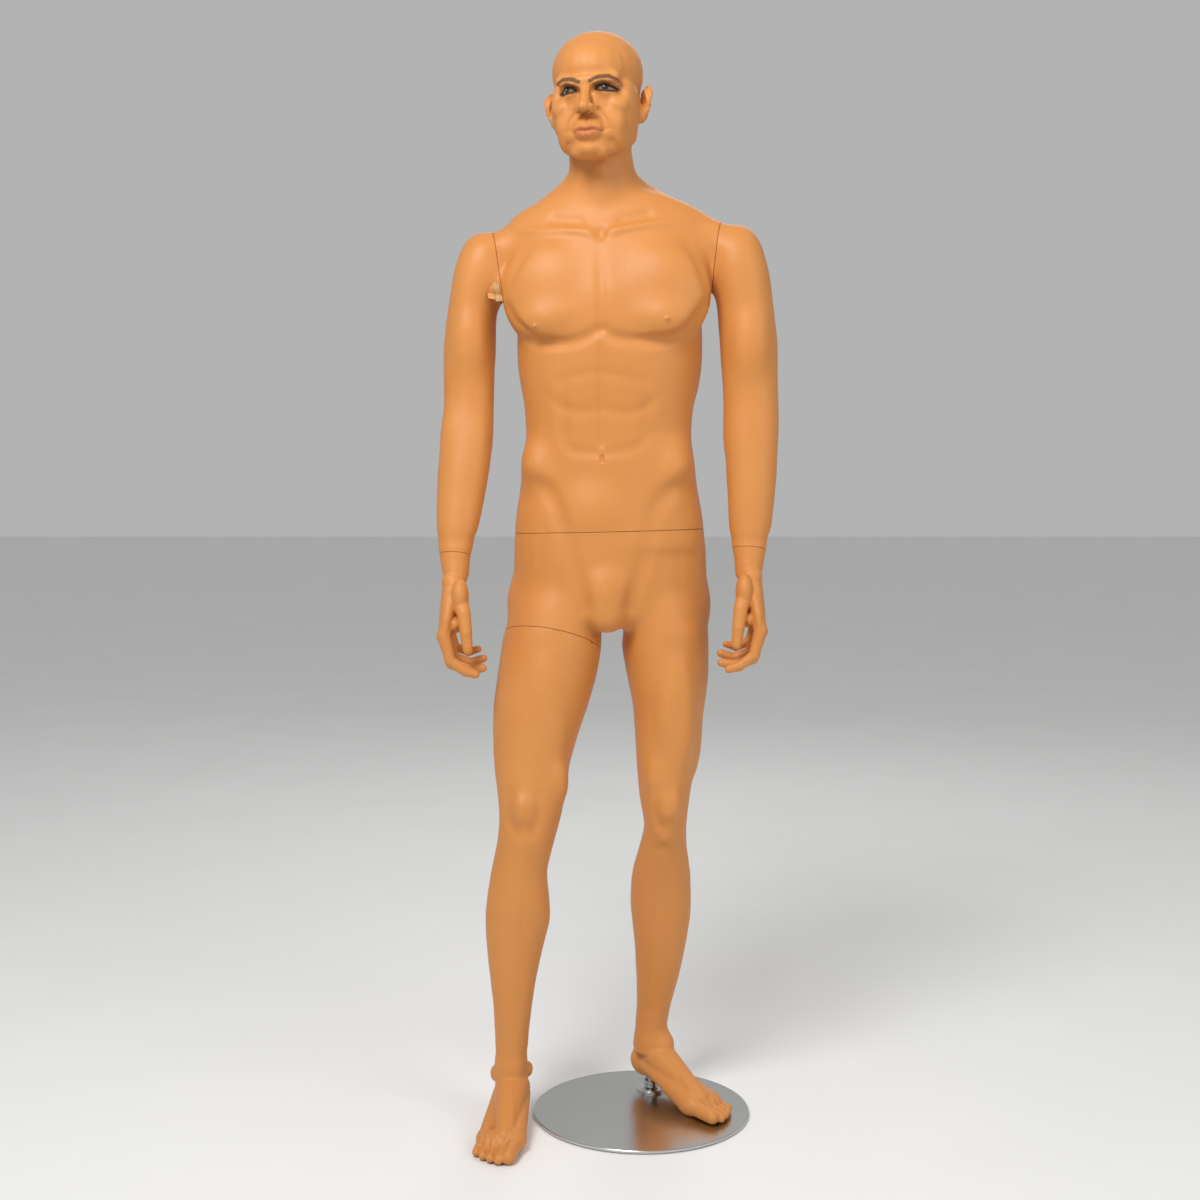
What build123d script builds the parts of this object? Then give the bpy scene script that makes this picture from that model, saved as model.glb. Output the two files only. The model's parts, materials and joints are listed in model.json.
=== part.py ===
"""A full-size male display mannequin on a round steel base, as separate pieces.

Hollow moulded shells meet at the waist, the shoulders, the wrists and the right thigh.
Each meeting has a board on both sides, with a slotted plate on one board and a T-headed
key on the other, so that a limb comes off with a twist. The left foot stands on a rod
that rises from the base, and the right foot stands on the floor beside it.

Millimetres. +Z is up, the figure faces -Y and its right side is towards -X. The origin
is the middle of the base's underside.
"""

from build123d import *
import math
import os

os.makedirs("parts", exist_ok=True)

# ---- base and spigot ----
base_radius = 190.0
base_thickness = 5.0
edge_chamfer = 1.0
felt_radius = 180.0
felt_thickness = 1.5
plate_top = felt_thickness + base_thickness
spigot_x, spigot_y = 20.0, 92.0
rod_radius = 6.35
rod_top = 112.0
flange_radius = 26.0
flange_thickness = 5.0
collar_radius = 13.0
collar_low, collar_high = 13.0, 25.0
set_screw_radius = 2.5
socket_radius = 10.0
socket_low, socket_high = 30.0, 118.0

# ---- shells, boards and clearances ----
wall = 4.5
seam_gap = 0.6
board_thickness = 9.0
glue_line = 0.3  # round a board or a socket
running_clearance = 0.3  # round the rod, the studs and the set screw
fixed_clearance = 0.1  # round a screw

# ---- seams: a point, and the direction from the slotted side to the keyed side ----
waist = ((-57, 34, 1028), (-0.024, 0.028, 1.0))
right_thigh = ((-157, 16, 838), (-0.186, -0.329, -0.926))
right_shoulder = ((-255, 58, 1500), (-0.985, -0.13, -0.12))
left_shoulder = ((127, 20, 1500), (0.985, -0.13, -0.12))
right_wrist = ((-321, -22, 989), (-0.04, -0.28, -0.96))
left_wrist = ((182, -22, 998), (-0.06, -0.28, -0.96))

# ---- level sections: height, centre x and y, half width, front, back, turn in degrees ----
# Front and back are measured from the centre. A negative turn is to the figure's right.
trunk_rings = [
    (1000, -57, 31, 167, 102, 118, 0),
    (1060, -57, 31, 164, 101, 105, -3),
    (1115, -57, 31, 156, 100, 96, -6),
    (1190, -57, 31, 145, 100, 95, -7),
    (1246, -57, 31, 149, 105, 101, -7),
    (1310, -57, 32, 159, 116, 110, -7),
    (1385, -57, 34, 164, 128, 118, -7),
    (1440, -58, 37, 178, 122, 119, -7),
    (1490, -62, 41, 222, 100, 110, -7),
    (1530, -62, 44, 226, 80, 97, -7),
    (1555, -60, 46, 200, 69, 86, -7),
    (1574, -58, 47, 166, 62, 76, -6),
    (1590, -57, 47, 132, 58, 70, -5),
    (1608, -59, 46, 94, 58, 66, -5),
    (1630, -65, 44, 66, 59, 60, -6),
    (1660, -70, 38, 59, 56, 54, -8),
    (1690, -73, 30, 55, 52, 51, -12),
    (1715, -75, 23, 50, 47, 47, -13),
]
pelvis_rings = [
    (1062, -57, 31, 164, 101, 105, -3),
    (1020, -57, 31, 167, 101, 114, 0),
    (975, -55, 31, 169, 101, 122, 2),
    (930, -55, 30, 172, 98, 128, 3),
    (892, -57, 28, 168, 90, 124, 3),
    (862, -58, 26, 142, 76, 104, 3),
]
right_leg_rings = [
    (930, -137, 30, 76, 76, 98, 3),
    (880, -148, 25, 85, 90, 101, 3),
    (830, -156, 16, 90, 95, 94, 0),
    (760, -169, 3, 88, 91, 85, 0),
    (676, -185, -15, 76, 79, 72, 0),
    (600, -190, -32, 62, 67, 60, 0),
    (540, -193, -46, 56, 58, 51, 0),
    (495, -200, -50, 51, 51, 48, 0),
    (440, -213, -46, 51, 47, 55, 0),
    (370, -215, -38, 60, 48, 63, 0),
    (305, -221, -36, 51, 45, 54, 0),
    (230, -225, -38, 39, 38, 42, 0),
    (160, -228, -41, 31, 35, 36, 0),
    (110, -228, -41, 30, 38, 37, 0),
    (78, -228, -42, 30, 40, 36, 0),
]
left_leg_rings = [
    (930, 24, 32, 76, 76, 98, 3),
    (880, 37, 31, 80, 88, 101, 3),
    (829, 40, 28, 78, 92, 94, 6),
    (755, 46, 22, 70, 86, 84, 10),
    (673, 44, 8, 58, 75, 70, 15),
    (600, 39, -5, 48, 63, 58, 20),
    (530, 40, -7, 40, 54, 49, 20),
    (490, 38, 8, 43, 47, 50, 20),
    (426, 35, 38, 55, 45, 56, 20),
    (360, 35, 58, 58, 45, 58, 20),
    (290, 34, 71, 49, 43, 51, 22),
    (220, 30, 82, 40, 38, 42, 25),
    (160, 23, 90, 31, 35, 37, 30),
    (92, 17, 93, 30, 38, 37, 35),
]
right_arm_rings = [
    (1556, -256, 58, 12, 20, 20, 0),
    (1547, -260, 58, 27, 36, 36, 0),
    (1528, -267, 58, 38, 49, 50, 0),
    (1490, -277, 58, 45, 58, 60, 0),
    (1440, -288, 57, 47, 57, 60, 0),
    (1390, -296, 55, 46, 52, 56, 0),
    (1320, -300, 50, 49, 48, 52, 0),
    (1246, -301, 42, 46, 43, 47, 0),
    (1190, -303, 28, 49, 43, 44, 0),
    (1120, -309, 11, 46, 40, 41, 0),
    (1040, -317, -10, 37, 33, 34, 0),
    (990, -321, -22, 27, 28, 29, 0),
    (950, -322, -32, 24, 30, 30, 0),
]
left_arm_rings = [
    (1556, 134, 20, 12, 20, 20, 0),
    (1547, 138, 20, 27, 36, 36, 0),
    (1528, 147, 20, 40, 49, 50, 0),
    (1490, 161, 20, 48, 58, 60, 0),
    (1440, 174, 20, 50, 57, 60, 0),
    (1390, 180, 20, 49, 52, 56, 0),
    (1320, 184, 19, 52, 48, 52, 0),
    (1246, 186, 16, 50, 43, 47, 0),
    (1190, 186, 9, 51, 43, 44, 0),
    (1120, 187, 0, 45, 40, 41, 0),
    (1040, 184, -12, 37, 33, 34, 0),
    (990, 182, -23, 27, 28, 29, 0),
    (950, 181, -32, 24, 30, 30, 0),
]
head_rings = [
    (1663, -88, -28, 26, 28, 30, -13),
    (1673, -86, -22, 43, 45, 49, -13),
    (1692, -83, -10, 59, 67, 61, -13),
    (1716, -80, 2, 67, 82, 76, -13),
    (1745, -78, 9, 73, 92, 90, -13),
    (1775, -77, 13, 78, 96, 98, -13),
    (1805, -77, 14, 80, 94, 98, -13),
    (1833, -77, 15, 73, 80, 88, -13),
    (1856, -78, 16, 54, 56, 65, -13),
    (1871, -78, 17, 20, 21, 26, -13),
]

# ---- feet: distance from the heel, half width, height of the sole, height of the top ----
foot_rings = [
    (4, 14, 34, 58),
    (15, 25, 24, 78),
    (34, 31, 20, 98),
    (62, 33, 20, 107),
    (94, 34, 20, 96),
    (128, 38, 12, 76),
    (164, 43, 3, 58),
    (196, 45, -2, 44),
    (224, 42, -2, 34),
    (246, 34, 0, 27),
    (258, 20, 4, 21),
]
right_heel, right_toe = (-223, 20), (-245, -243)
left_heel, left_toe = (-6, 139), (143, -74)

# ---- hands, from the axis of the wrist: outward, forward and down ----
# A palm section is at a height, with its half thickness and its half breadth.
palm_rings = [
    (1005, 0, 22, 24, 28),
    (975, 0, 30, 22, 28),
    (950, 1, 35, 22, 30),
    (920, 4, 42, 20, 36),
    (890, 7, 47, 17, 41),
    (862, 6, 50, 14, 41),
    (845, 3, 51, 10, 37),
]
# A finger runs from its root over the knuckle to its tip, curled towards the thigh.
fingers = [
    ([(6, 80, 872), (4, 86, 838), (-16, 84, 814), (-32, 81, 800)], 9.6, 7.0),
    ([(6, 61, 868), (3, 64, 828), (-18, 62, 806), (-37, 61, 796)], 9.8, 7.2),
    ([(5, 41, 868), (1, 42, 832), (-19, 42, 811), (-37, 43, 801)], 9.2, 6.9),
    ([(3, 22, 872), (-1, 21, 845), (-17, 23, 826), (-32, 25, 817)], 8.2, 6.2),
    ([(-4, 56, 930), (-12, 78, 902), (-16, 87, 874), (-18, 90, 848)], 12.5, 8.2),
]


# ---- shaping ----
def section(centre, across, front, back, x_dir, y_dir):
    """A closed smooth outline: a squared oval with its own front and back depths."""
    points = []
    count, squareness = 14, 2.3
    for i in range(count):
        angle = 2 * math.pi * (i + 0.5) / count
        c, s = math.cos(angle), math.sin(angle)
        depth = back if s > 0 else front
        u = across * math.copysign(abs(c) ** (2 / squareness), c)
        v = depth * math.copysign(abs(s) ** (2 / squareness), s)
        points.append(centre + x_dir * u + y_dir * v)
    return Wire([Edge.make_spline(points, periodic=True)])


def limb(rings, inset=0.0):
    """A smooth solid through level sections, all of them drawn in by the inset."""
    wires = []
    for z, x, y, across, front, back, turn in rings:
        angle = math.radians(turn)
        x_dir = Vector(math.cos(angle), math.sin(angle), 0)
        y_dir = Vector(-math.sin(angle), math.cos(angle), 0)
        sizes = [size - inset for size in (across, front, back)]
        wires.append(section(Vector(x, y, z), *sizes, x_dir, y_dir))
    return Solid.make_loft(wires)


def foot(heel, toe, lift):
    """A foot from heel to toes, with the ball flattened where it bears at height lift."""
    start, end = Vector(*heel, lift), Vector(*toe, lift)
    along = (end - start).normalized()
    across_dir = Vector(0, 0, 1).cross(along)
    scale = (end - start).length / foot_rings[-1][0]
    wires = []
    for distance, across, low, high in foot_rings:
        centre = start + along * distance * scale + Vector(0, 0, (low + high) / 2)
        half = (high - low) / 2
        wires.append(section(centre, across, half, half, across_dir, Vector(0, 0, 1)))
    solid = Solid.make_loft(wires)
    return largest(split(solid, bisect_by=Plane(origin=(0, 0, lift)), keep=Keep.TOP))


def finger(points, root_radius, tip_radius):
    """A round tapering finger through the points, with a blunt tip."""
    path = Edge.make_spline([Vector(*p) for p in points])
    wires = []
    for t, share in ((0, 1.0), (0.3, 1.0), (0.6, 1.0), (0.88, 1.0), (0.97, 0.75), (1, 0.4)):
        radius = (root_radius + (tip_radius - root_radius) * t) * share
        plane = Plane(origin=path @ t, z_dir=path % t)
        wires.append(Wire([Edge.make_circle(radius, plane)]))
    return Solid.make_loft(wires)


def largest(shape):
    return max(shape.solids(), key=lambda solid: solid.volume)


def near_side(shape, seam, shift=0.0):
    """What lies on the slotted side of a seam moved by the shift along its direction."""
    return largest(split(shape, bisect_by=seam_plane(seam, shift), keep=Keep.BOTTOM))


def far_side(shape, seam, shift=0.0):
    """What lies on the keyed side of a seam moved by the shift along its direction."""
    return largest(split(shape, bisect_by=seam_plane(seam, shift), keep=Keep.TOP))


def seam_plane(seam, shift=0.0):
    point, direction = seam
    direction = Vector(*direction).normalized()
    side = Vector(1, 0, 0) if abs(direction.Z) > 0.7 else Vector(0, 1, 0)
    side = (side - direction * side.dot(direction)).normalized()
    return Plane(origin=Vector(*point) + direction * shift, x_dir=side, z_dir=direction)


def past_seam(seam, reach):
    """A block on the keyed side of a seam, to cut off what crosses it near the seam."""
    block = Box(2 * reach, 2 * reach, 2 * reach)
    return seam_plane(seam, -seam_gap / 2).location * Pos(0, 0, reach) * block


def fit(solid, *tools):
    """The solid with room cut in it for each tool."""
    for tool in tools:
        solid = solid - tool
    return largest(solid)


def save(name, *solids):
    shape = solids[0] if len(solids) == 1 else Compound(children=list(solids))
    export_step(shape, f"parts/{name}.step")
    print(f"{name}: {shape.volume / 1000:.2f} cm3")


# ---- the fitting at a seam ----
class Fitting:
    """A slotted plate, and the T-headed key that turns in it by the unlocking angle.

    It is drawn with the seam at z = 0, the slotted side below and the keyed side above,
    and then placed on the seam.
    """

    screw_count = 4

    def __init__(self, seam, unlock, plate_radius, plate, stud_radius, head, screw_radius):
        self.seam = seam
        self.unlock = unlock
        self.plate_radius = plate_radius
        self.plate = plate
        self.stud_radius = stud_radius
        self.head_length, self.head_width, self.head_thickness = head
        self.screw_radius = screw_radius
        self.face = seam_gap / 2 + 0.3  # a plate's height from the seam
        self.depth = self.face + plate  # a board's height from the seam
        self.room = self.head_length / 2 + 1.5

    def placed(self, shape):
        return seam_plane(self.seam).location * shape

    def disc(self, radius, low, high):
        return Pos(0, 0, (low + high) / 2) * Cylinder(radius, high - low)

    def screws(self, side, clearance=0.0):
        """The countersunk screws of one side: -1 for the slotted side, 1 for the keyed."""
        radius = self.screw_radius + clearance
        head_radius = 2 * self.screw_radius + clearance
        length = self.plate + 7
        one = Pos(0, 0, -length / 2) * Cylinder(radius, length)
        one += Pos(0, 0, -self.screw_radius / 2) * Cone(radius, head_radius, self.screw_radius)
        if not clearance:
            slot = Box(2.4 * self.screw_radius, 0.3 * self.screw_radius, 1.2)
            one = one - slot - Rot(0, 0, 90) * slot
        if side > 0:
            one = Rot(180, 0, 0) * one
        ring = (self.plate_radius + self.head_length / 2) / 2
        first = 45 + (self.unlock if side < 0 else 0)
        spots = PolarLocations(ring, self.screw_count, start_angle=first)
        lift = Pos(0, 0, side * (self.face + 0.05))
        return [largest(self.placed(lift * spot * one)) for spot in spots]

    def lock_plate(self):
        slot = Box(self.head_length + 1.2, self.head_width + 1.2, 4 * self.depth)
        eye = Cylinder(self.stud_radius + running_clearance, 4 * self.depth)
        plate = self.disc(self.plate_radius, -self.depth, -self.face)
        plate = plate - Rot(0, 0, self.unlock) * slot - eye
        return fit(self.placed(plate), *self.screws(-1, fixed_clearance))

    def key(self):
        head_top = -self.depth - 1.0
        head_low = head_top - self.head_thickness
        head = Box(self.head_length, self.head_width, self.head_thickness)
        head = Pos(0, 0, (head_top + head_low) / 2) * head
        stud = self.disc(self.stud_radius, head_low, self.face)
        plate = self.disc(self.plate_radius, self.face, self.depth)
        return fit(self.placed(plate + stud + head), *self.screws(1, fixed_clearance))

    def board(self, hollow, side):
        """The board glued into a shell beside the seam, which its plate is screwed to."""
        near, far = self.depth, self.depth + board_thickness
        if side > 0:
            board = near_side(far_side(hollow, self.seam, near), self.seam, far)
            return fit(board, *self.screws(1, fixed_clearance))
        board = far_side(near_side(hollow, self.seam, -near), self.seam, -far)
        head_room = self.placed(self.disc(self.room, -2 * far, 0))
        return fit(board, head_room, *self.screws(-1, fixed_clearance))

    def pocket(self):
        """The recess for the key's plate where the keyed side is solid."""
        radius = self.plate_radius + fixed_clearance
        return self.placed(self.disc(radius, -self.depth, self.depth))


waist_fitting = Fitting(waist, 45, 45, 4, 10, (50, 16, 6), 2.0)
thigh_fitting = Fitting(right_thigh, 40, 40, 4, 10, (44, 14, 6), 2.0)
right_shoulder_fitting = Fitting(right_shoulder, 90, 28, 3, 8, (34, 12, 5), 1.8)
left_shoulder_fitting = Fitting(left_shoulder, 90, 28, 3, 8, (34, 12, 5), 1.8)
right_wrist_fitting = Fitting(right_wrist, 90, 16, 2.5, 4, (16, 7, 3.5), 1.2)
left_wrist_fitting = Fitting(left_wrist, 90, 16, 2.5, 4, (16, 7, 3.5), 1.2)


# ---- base and spigot ----
def at_spigot(low, high, radius):
    return Pos(spigot_x, spigot_y, (low + high) / 2) * Cylinder(radius, high - low)


def make_base():
    bore = at_spigot(felt_thickness, 2 * rod_top, rod_radius + 0.05)
    plate = Pos(0, 0, felt_thickness + base_thickness / 2) * Cylinder(base_radius, base_thickness)
    plate = chamfer(plate.edges().filter_by(GeomType.CIRCLE), edge_chamfer)
    felt = Pos(0, 0, felt_thickness / 2) * Cylinder(felt_radius, felt_thickness)
    flange_top = plate_top + flange_thickness
    flange = at_spigot(plate_top, flange_top, flange_radius)
    flange = chamfer(flange.edges().group_by(Axis.Z)[-1], edge_chamfer)

    def flange_screws(clearance=0.0):
        shank = Pos(0, 0, -4.5) * Cylinder(2 + clearance, 9)
        one = shank + Pos(0, 0, -1) * Cone(2 + clearance, 4 + clearance, 2)
        if not clearance:
            one -= Box(5, 0.8, 1.6)
            one -= Box(0.8, 5, 1.6)
        centre = Pos(spigot_x, spigot_y, flange_top - 0.05)
        return [centre * spot * one for spot in PolarLocations(18, 4, start_angle=45)]

    holes = flange_screws(fixed_clearance)
    save("base_plate", fit(plate, bore, *holes))
    save("base_felt", felt)
    save("spigot_flange", fit(flange, bore, *holes))
    save("flange_screws", *flange_screws())
    rod = at_spigot(felt_thickness, rod_top, rod_radius)
    save("spigot_rod", chamfer(rod.edges().group_by(Axis.Z)[-1], 1.5))

    # The collar is clamped to the rod by a set screw that faces the front.
    collar = at_spigot(collar_low, collar_high, collar_radius)
    collar = chamfer(collar.edges().filter_by(GeomType.CIRCLE), edge_chamfer)
    middle = (collar_low + collar_high) / 2
    reach = collar_radius - rod_radius
    screw_place = Pos(spigot_x, spigot_y - rod_radius - running_clearance - reach / 2, middle)
    screw_hole = Rot(90, 0, 0) * Cylinder(set_screw_radius + running_clearance, 2 * reach)
    socket_key = Rot(90, 0, 0) * extrude(RegularPolygon(1.3, 6), 2.5)
    screw = Rot(90, 0, 0) * Cylinder(set_screw_radius, reach)
    screw = screw - Pos(0, -reach / 2 + 2.4, 0) * socket_key
    save("spigot_collar", fit(collar, bore, screw_place * screw_hole))
    save("collar_set_screw", largest(screw_place * screw))


# ---- lower body, which is the hips and the left leg in one shell ----
def make_lower_body():
    stub_rings = right_leg_rings[:5]
    legs = limb(left_leg_rings) + foot(left_heel, left_toe, plate_top) + limb(stub_rings)
    outside = near_side(limb(pelvis_rings) + legs, waist, -seam_gap / 2)
    leg_hollows = limb(left_leg_rings, wall) + limb(stub_rings, wall)
    hollow = largest(limb(pelvis_rings[:-1], wall) + leg_hollows)
    shell = fit(outside, hollow, past_seam(right_thigh, 105))
    shell = fit(shell, at_spigot(0, socket_high, socket_radius + glue_line))
    save("pelvis_left_leg_shell", shell)

    socket = at_spigot(socket_low, socket_high, socket_radius)
    socket_bore = at_spigot(0, rod_top + 1, rod_radius + running_clearance)
    save("spigot_socket", fit(socket, socket_bore))
    waist_inside = limb(pelvis_rings[:-1], wall + glue_line)
    save("waist_lower_board", waist_fitting.board(waist_inside, -1))
    save("waist_lock_plate", waist_fitting.lock_plate())
    save("waist_lock_screws", *waist_fitting.screws(-1))
    thigh_inside = limb(stub_rings, wall + glue_line)
    save("thigh_upper_board", thigh_fitting.board(thigh_inside, -1))
    save("thigh_lock_plate", thigh_fitting.lock_plate())
    save("thigh_lock_screws", *thigh_fitting.screws(-1))


# ---- upper body, which is the trunk and the head in one shell ----
def make_upper_body():
    outside = far_side(limb(trunk_rings) + limb(head_rings), waist, seam_gap / 2)
    hollow = largest(limb(trunk_rings, wall) + limb(head_rings[1:-1], wall))
    shoulders = [past_seam(seam, 130) for seam in (right_shoulder, left_shoulder)]
    save("torso_head_shell", fit(outside, hollow, *shoulders))

    inside = limb(trunk_rings, wall + glue_line)
    save("waist_upper_board", waist_fitting.board(inside, 1))
    save("waist_key", waist_fitting.key())
    save("waist_key_screws", *waist_fitting.screws(1))
    chest = far_side(inside, waist, 385)
    for side, fitting in (("right", right_shoulder_fitting), ("left", left_shoulder_fitting)):
        save(f"{side}_shoulder_board", fitting.board(chest, -1))
        save(f"{side}_shoulder_lock_plate", fitting.lock_plate())
        save(f"{side}_shoulder_lock_screws", *fitting.screws(-1))


# ---- arms and hands ----
def make_arm(side, rings, shoulder, wrist):
    outside = near_side(far_side(limb(rings), shoulder.seam, seam_gap / 2), wrist.seam, -seam_gap / 2)
    save(f"{side}_arm_shell", fit(outside, limb(rings[1:], wall)))
    inside = limb(rings[1:], wall + glue_line)
    save(f"{side}_arm_board", shoulder.board(inside, 1))
    save(f"{side}_shoulder_key", shoulder.key())
    save(f"{side}_shoulder_key_screws", *shoulder.screws(1))
    save(f"{side}_wrist_board", wrist.board(inside, -1))
    save(f"{side}_wrist_lock_plate", wrist.lock_plate())
    save(f"{side}_wrist_lock_screws", *wrist.screws(-1))


def make_hand(side, outward, wrist):
    (wrist_x, _, wrist_z), _ = wrist.seam
    lift = wrist_z - right_wrist[0][2]
    rings = [
        (z + lift, wrist_x + outward * x, -forward, thick, broad, broad, 0)
        for z, x, forward, thick, broad in palm_rings
    ]
    hand = limb(rings)
    for points, root_radius, tip_radius in fingers:
        placed = [(wrist_x + outward * x, -forward, z + lift) for x, forward, z in points]
        hand = hand + finger(placed, root_radius, tip_radius)
    hand = far_side(hand, wrist.seam, seam_gap / 2)
    save(f"{side}_hand", fit(hand, wrist.pocket(), *wrist.screws(1, fixed_clearance)))
    save(f"{side}_wrist_key", wrist.key())
    save(f"{side}_wrist_key_screws", *wrist.screws(1))


# ---- right leg ----
def make_right_leg():
    outside = limb(right_leg_rings) + foot(right_heel, right_toe, 0)
    outside = far_side(outside, right_thigh, seam_gap / 2)
    save("right_leg_shell", fit(outside, limb(right_leg_rings, wall)))
    inside = limb(right_leg_rings, wall + glue_line)
    save("thigh_lower_board", thigh_fitting.board(inside, 1))
    save("thigh_key", thigh_fitting.key())
    save("thigh_key_screws", *thigh_fitting.screws(1))


make_base()
make_lower_body()
make_upper_body()
make_arm("right", right_arm_rings, right_shoulder_fitting, right_wrist_fitting)
make_arm("left", left_arm_rings, left_shoulder_fitting, left_wrist_fitting)
make_hand("right", -1, right_wrist_fitting)
make_hand("left", 1, left_wrist_fitting)
make_right_leg()
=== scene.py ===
import bpy
import json
import math
import numpy as np
from mathutils import Euler, Matrix, Vector

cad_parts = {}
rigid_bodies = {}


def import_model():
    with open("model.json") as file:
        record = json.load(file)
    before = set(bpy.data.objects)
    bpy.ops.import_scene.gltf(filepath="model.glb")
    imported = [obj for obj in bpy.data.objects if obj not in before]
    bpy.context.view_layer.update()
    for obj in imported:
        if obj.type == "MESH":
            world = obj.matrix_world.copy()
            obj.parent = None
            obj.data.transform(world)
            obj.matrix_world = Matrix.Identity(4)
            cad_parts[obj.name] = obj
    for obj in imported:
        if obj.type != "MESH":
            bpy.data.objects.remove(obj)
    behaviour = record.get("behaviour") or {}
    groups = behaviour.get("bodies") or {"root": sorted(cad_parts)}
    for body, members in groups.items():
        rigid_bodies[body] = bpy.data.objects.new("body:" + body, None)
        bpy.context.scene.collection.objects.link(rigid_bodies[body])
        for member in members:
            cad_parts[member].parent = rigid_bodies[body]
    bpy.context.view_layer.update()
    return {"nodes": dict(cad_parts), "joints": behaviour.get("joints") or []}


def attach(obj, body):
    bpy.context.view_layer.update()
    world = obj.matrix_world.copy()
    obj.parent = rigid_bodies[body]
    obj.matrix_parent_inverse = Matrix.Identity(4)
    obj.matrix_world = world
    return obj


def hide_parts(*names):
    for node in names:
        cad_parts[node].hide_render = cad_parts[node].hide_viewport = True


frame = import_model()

mm = 0.001
print("frame loaded:", len(frame["nodes"]), "nodes")


# clay tools

def deselectAll():
    if bpy.context.mode != "OBJECT":
        bpy.ops.object.mode_set(mode="OBJECT")
    bpy.ops.object.select_all(action="DESELECT")


def pick(*pieces):
    deselectAll()
    for piece in pieces:
        piece.select_set(True)
    bpy.context.view_layer.objects.active = pieces[0]


def editMode(kind="FACE"):
    bpy.context.tool_settings.mesh_select_mode = (kind == "VERT", kind == "EDGE", kind == "FACE")
    bpy.ops.object.mode_set(mode="EDIT")


def objectMode():
    bpy.ops.object.mode_set(mode="OBJECT")


def bakePlace(piece):
    pick(piece)
    bpy.ops.object.transform_apply(location=True, rotation=True, scale=True)
    return piece


def lump(centre, size, turn=(0, 0, 0)):
    deselectAll()
    bpy.ops.mesh.primitive_uv_sphere_add(
        segments=20, ring_count=12, radius=mm, location=Vector(centre) * mm,
        rotation=[math.radians(a) for a in turn], scale=size)
    return bakePlace(bpy.context.active_object)


def bone(start, end, startRadius, endRadius):
    a, b = Vector(start) * mm, Vector(end) * mm
    deselectAll()
    bpy.ops.mesh.primitive_cone_add(
        vertices=20, radius1=startRadius * mm, radius2=endRadius * mm, depth=(b - a).length,
        location=(a + b) / 2, rotation=(b - a).to_track_quat("Z", "Y").to_euler())
    shaft = bpy.context.active_object
    ends = [lump(start, [startRadius] * 3), lump(end, [endRadius] * 3)]
    pick(shaft, *ends)
    bpy.ops.object.join()
    return bakePlace(shaft)


# a limb grown upwards or downwards, ring by ring: height, x, y, half width, half depth
def tube(rings, sides=28):
    z, x, y, across, deep = rings[0]
    deselectAll()
    bpy.ops.mesh.primitive_circle_add(
        vertices=sides, radius=mm, fill_type="NGON", location=(x * mm, y * mm, z * mm))
    piece = bakePlace(bpy.context.active_object)
    editMode()
    bpy.ops.mesh.select_all(action="SELECT")
    bpy.ops.transform.resize(value=(across, deep, 1), center_override=(x * mm, y * mm, z * mm))
    for (z0, x0, y0, across0, deep0), (z, x, y, across, deep) in zip(rings, rings[1:]):
        step = Vector((x - x0, y - y0, z - z0)) * mm
        bpy.ops.mesh.extrude_region_move(TRANSFORM_OT_translate={"value": step})
        bpy.ops.transform.resize(
            value=(across / across0, deep / deep0, 1), center_override=(x * mm, y * mm, z * mm))
    bpy.ops.mesh.select_all(action="SELECT")
    bpy.ops.mesh.normals_make_consistent(inside=False)
    objectMode()
    return piece


def gather(parts, centre=(0, 0, 0), turn=(0, 0, 0)):
    pick(*parts)
    bpy.ops.object.join()
    whole = bpy.context.active_object
    whole.rotation_euler = [math.radians(a) for a in turn]
    whole.location = Vector(centre) * mm
    return bakePlace(whole)


# the parts become one skin of even squares, softened
def knead(name, parts, voxel, soften):
    clay = gather(parts)
    clay.name = clay.data.name = name
    clay.modifiers.new("knead", "REMESH").mode = "VOXEL"
    clay.modifiers["knead"].voxel_size = voxel * mm
    clay.modifiers.new("soften", "SMOOTH").iterations = soften
    pick(clay)
    bpy.ops.object.modifier_apply(modifier="knead")
    bpy.ops.object.modifier_apply(modifier="soften")
    bpy.ops.object.shade_smooth()
    return clay


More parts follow.
